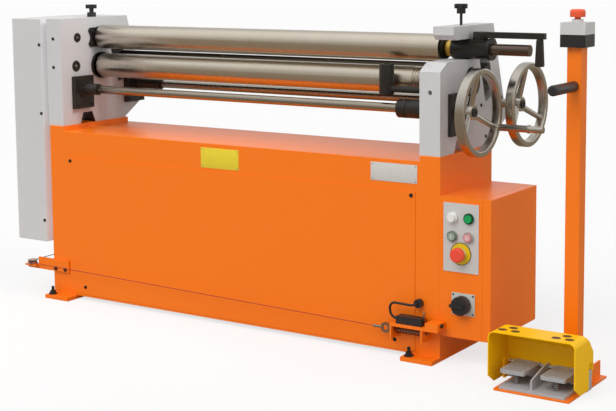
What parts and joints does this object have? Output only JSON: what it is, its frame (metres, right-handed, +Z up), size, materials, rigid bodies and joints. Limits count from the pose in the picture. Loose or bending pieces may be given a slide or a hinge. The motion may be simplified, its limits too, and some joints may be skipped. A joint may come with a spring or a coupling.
{
  "type": "plate rolling machine",
  "caption": "Electric slip roll for bending sheet metal: ground rolls between cast side frames on an orange cabinet, handwheel adjusters, swing-out roll end, kick wire and pedal stand.",
  "frame": {"origin": "on the floor, at the centre of the four anchor holes in the foot plates", "axes": "+X along the rolls towards the release end, +Y from front to rear, +Z up"},
  "size_m": [2.0655, 0.622, 0.982],
  "materials": {
    "orange_paint": "orange powder coat",
    "grey_paint": "light grey enamel",
    "polished_steel": "ground and polished steel",
    "black_oxide": "black oxide and black enamel",
    "brass": "turned brass",
    "machine_steel": "plain machined steel",
    "black_plastic": "moulded black plastic",
    "red_plastic": "moulded red plastic",
    "green_plastic": "moulded green plastic",
    "white_plastic": "white lens",
    "bare_sheet": "brushed aluminium sheet",
    "yellow_paint": "yellow powder coat",
    "grey_plastic": "moulded grey plastic",
    "cord_black": "black cable sheath"
  },
  "bodies": {
    "machine": {"base_cabinet": "orange_paint", "front_panel": "orange_paint", "left_frame": "grey_paint", "right_frame": "grey_paint", "gear_cover": "grey_paint", "gear_case_plate": "grey_paint", "drive_motor": "grey_paint", "gear_reducer": "grey_paint", "drive_chain": "machine_steel", "electrical_cabinet": "orange_paint", "cabinet_cover": "orange_paint", "contactor_plate": "black_plastic", "control_plate": "bare_sheet", "pilot_lamp": "white_plastic", "left_boxes": "black_oxide", "right_carriers": "black_oxide", "neck_flange": "black_oxide", "cone_post": "black_oxide", "left_brackets": "orange_paint", "right_bracket": "orange_paint", "trip_wire": "machine_steel", "trip_spring": "black_oxide", "limit_switch": "black_plastic", "switch_lead": "cord_black", "stand_base": "orange_paint", "stand_column": "orange_paint", "pedal_base": "grey_plastic", "pedal_guard": "yellow_paint", "stand_switch_box": "grey_plastic", "stand_grip": "black_plastic"},
    "lower_carriage": {"lower_bearings": "black_oxide"},
    "lower_roll_body": {"lower_roll": "polished_steel", "lower_gear": "machine_steel"},
    "upper_gear_body": {"upper_gear": "machine_steel"},
    "drive_sprocket_body": {"drive_sprocket": "machine_steel"},
    "rear_carriage": {"rear_bearings": "black_oxide"},
    "rear_roll_body": {"rear_roll": "polished_steel"},
    "swing_end": {"end_housing": "black_oxide", "brass_bush": "brass"},
    "upper_roll_body": {"upper_roll": "polished_steel"},
    "crank": {"release_crank": "black_oxide", "crank_grip": "black_plastic"},
    "front_wheel": {"front_shaft": "polished_steel", "front_handwheel": "polished_steel"},
    "front_handle": {"wheel_handle": "polished_steel"},
    "rear_wheel": {"rear_shaft": "polished_steel", "rear_handwheel": "polished_steel"},
    "left_knob_body": {"left_knob": "black_plastic"},
    "right_knob_body": {"right_knob": "black_plastic"},
    "start_button_body": {"start_button": "green_plastic"},
    "on_button_body": {"on_button": "green_plastic"},
    "off_button_body": {"off_button": "red_plastic"},
    "stop_body": {"stop_mushroom": "red_plastic"},
    "main_switch_body": {"main_switch_knob": "black_plastic"},
    "pulley_body": {"trip_pulley": "black_plastic"},
    "trip_pull_body": {"trip_eye": "machine_steel"},
    "lever_body": {"switch_lever": "machine_steel"},
    "left_pedal_body": {"left_pedal": "grey_plastic"},
    "right_pedal_body": {"right_pedal": "grey_plastic"},
    "stand_stop_body": {"stand_mushroom": "red_plastic"}
  },
  "joints": [
    {"name": "front_wheel_turn", "type": "hinge", "parent": "machine", "child": "front_wheel", "pos_m": [0.7325, -0.0615, 0.688], "axis": [1, 0, 0], "range_deg": [0, 1260]},
    {"name": "lower_lift", "type": "slide", "parent": "machine", "child": "lower_carriage", "axis": [0, 0, 1], "range_m": [0, 0.014]},
    {"name": "lower_roll_spin", "type": "hinge", "parent": "lower_carriage", "child": "lower_roll_body", "pos_m": [0.0325, 0.03, 0.761], "axis": [1, 0, 0], "continuous": true},
    {"name": "upper_gear_spin", "type": "hinge", "parent": "machine", "child": "upper_gear_body", "pos_m": [-0.6695, 0.03, 0.856], "axis": [1, 0, 0], "continuous": true},
    {"name": "drive_sprocket_spin", "type": "hinge", "parent": "machine", "child": "drive_sprocket_body", "pos_m": [-0.7475, 0, 0.33], "axis": [1, 0, 0], "continuous": true},
    {"name": "upper_swing", "type": "hinge", "parent": "machine", "child": "swing_end", "pos_m": [-0.6695, 0.03, 0.856], "axis": [0, 0, 1], "range_deg": [-8, 0]},
    {"name": "upper_roll_spin", "type": "hinge", "parent": "swing_end", "child": "upper_roll_body", "pos_m": [0.0325, 0.03, 0.856], "axis": [1, 0, 0], "continuous": true},
    {"name": "crank_turn", "type": "hinge", "parent": "swing_end", "child": "crank", "pos_m": [0.7855, 0.03, 0.8845], "axis": [0, 0, 1], "range_deg": [0, 90]},
    {"name": "rear_wheel_turn", "type": "hinge", "parent": "machine", "child": "rear_wheel", "pos_m": [0.7325, 0.1955, 0.688], "axis": [1, 0, 0], "range_deg": [0, 4050]},
    {"name": "rear_slide", "type": "slide", "parent": "machine", "child": "rear_carriage", "axis": [0, -0.3007, 0.9537], "range_m": [0, 0.045]},
    {"name": "rear_roll_spin", "type": "hinge", "parent": "rear_carriage", "child": "rear_roll_body", "pos_m": [0.0325, 0.1315, 0.765], "axis": [1, 0, 0], "continuous": true},
    {"name": "handle_spin", "type": "hinge", "parent": "front_wheel", "child": "front_handle", "pos_m": [0.8925, 0.03562, 0.63852], "axis": [1, 0, 0], "continuous": true},
    {"name": "left_knob_turn", "type": "hinge", "parent": "machine", "child": "left_knob_body", "pos_m": [-0.6695, 0.03, 0.94], "axis": [0, 0, 1], "range_deg": [0, 180]},
    {"name": "right_knob_turn", "type": "hinge", "parent": "machine", "child": "right_knob_body", "pos_m": [0.7245, 0.03, 0.95], "axis": [0, 0, 1], "range_deg": [0, 180]},
    {"name": "start_press", "type": "slide", "parent": "machine", "child": "start_button_body", "axis": [0, 1, 0], "range_m": [0, 0.003], "stiffness_N_per_m": 400, "springref_m": -0.003},
    {"name": "on_press", "type": "slide", "parent": "machine", "child": "on_button_body", "axis": [0, 1, 0], "range_m": [0, 0.003], "stiffness_N_per_m": 400, "springref_m": -0.003},
    {"name": "off_press", "type": "slide", "parent": "machine", "child": "off_button_body", "axis": [0, 1, 0], "range_m": [0, 0.003], "stiffness_N_per_m": 400, "springref_m": -0.003},
    {"name": "stop_press", "type": "slide", "parent": "machine", "child": "stop_body", "axis": [0, 1, 0], "range_m": [0, 0.004], "stiffness_N_per_m": 800, "springref_m": -0.004},
    {"name": "main_switch_turn", "type": "hinge", "parent": "machine", "child": "main_switch_body", "pos_m": [0.8305, -0.17, 0.172], "axis": [0, 1, 0], "range_deg": [0, 90]},
    {"name": "pulley_spin", "type": "hinge", "parent": "machine", "child": "pulley_body", "pos_m": [-0.7825, -0.16745, 0.106], "axis": [0, 0, 1], "continuous": true},
    {"name": "trip_pull", "type": "slide", "parent": "machine", "child": "trip_pull_body", "axis": [-1, 0, 0], "range_m": [0, 0.005], "stiffness_N_per_m": 2000, "springref_m": -0.004, "deforming": ["trip_spring"]},
    {"name": "lever_turn", "type": "hinge", "parent": "machine", "child": "lever_body", "pos_m": [0.7265, -0.183, 0.1135], "axis": [1, 0, 0], "range_deg": [-15, 15], "stiffness_Nm_per_rad": 0.05},
    {"name": "left_pedal_press", "type": "hinge", "parent": "machine", "child": "left_pedal_body", "pos_m": [1.0365, -0.185, 0.049], "axis": [1, 0, 0], "range_deg": [0, 7], "stiffness_Nm_per_rad": 12, "springref_deg": -5.73},
    {"name": "right_pedal_press", "type": "hinge", "parent": "machine", "child": "right_pedal_body", "pos_m": [1.1485, -0.185, 0.049], "axis": [1, 0, 0], "range_deg": [0, 7], "stiffness_Nm_per_rad": 12, "springref_deg": -5.73},
    {"name": "stand_stop_press", "type": "slide", "parent": "machine", "child": "stand_stop_body", "axis": [0, 0, -1], "range_m": [0, 0.005], "stiffness_N_per_m": 800, "springref_m": -0.004}
  ],
  "couplings": [
    {"joint": "front_wheel_turn", "follows": "lower_lift", "rad_per_m": 1570.8},
    {"joint": "rear_wheel_turn", "follows": "rear_slide", "rad_per_m": 1570.8},
    {"joint": "upper_gear_spin", "follows": "lower_roll_spin", "ratio": -1},
    {"joint": "upper_roll_spin", "follows": "lower_roll_spin", "ratio": -1},
    {"joint": "drive_sprocket_spin", "follows": "lower_roll_spin", "ratio": -2}
  ]
}
